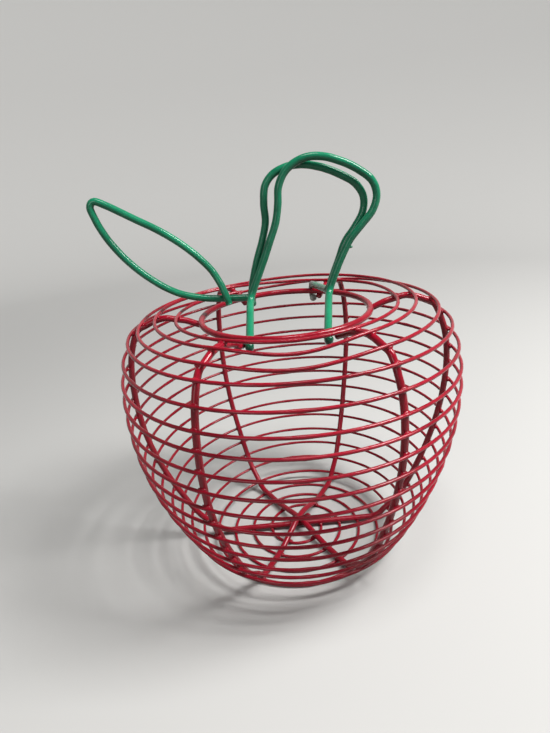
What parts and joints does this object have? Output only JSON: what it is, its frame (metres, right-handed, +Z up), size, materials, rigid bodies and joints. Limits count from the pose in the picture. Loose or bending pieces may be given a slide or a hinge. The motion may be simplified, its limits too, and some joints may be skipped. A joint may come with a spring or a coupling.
{
  "type": "apple-shaped wire basket",
  "caption": "Basket of painted steel wire in the shape of an apple: ribs wound with one spiral wire, an open rim ring, two folding carry handles and a wire leaf.",
  "frame": {"origin": "centre of the bounding box, on the surface that the basket stands on", "axes": "+Z up through the mouth, -Y the front, with the leaf pointing to -X"},
  "size_m": [0.2532, 0.25, 0.3009],
  "materials": {
    "red_enamel": "glossy red dipped paint on drawn steel wire, with paint pooled at the welds",
    "green_enamel": "glossy green dipped paint on drawn steel wire",
    "bare_steel": "worn, dull grey bare steel where the paint has rubbed off the hooks and on cut wire ends"
  },
  "bodies": {
    "basket": {"rim_ring": "red_enamel", "rib_side_to_side": "red_enamel", "rib_front_right_to_back_left": "red_enamel", "rib_front_left_to_back_right": "red_enamel", "shoulder_winding": "red_enamel", "wall_and_floor_winding": "red_enamel"},
    "front_handle": {"front_handle": "green_enamel"},
    "back_handle": {"back_handle": "green_enamel", "leaf": "green_enamel"}
  },
  "joints": [
    {"name": "front_handle_hinge", "type": "hinge", "parent": "basket", "child": "front_handle", "pos_m": [0.00092, -0.05621, 0.1948], "axis": [0.9998, -0.0178, 0], "range_deg": [0, 149]},
    {"name": "back_handle_hinge", "type": "hinge", "parent": "basket", "child": "back_handle", "pos_m": [0.00267, 0.05582, 0.1948], "axis": [-0.9999, 0.0134, 0], "range_deg": [0, 120]}
  ]
}
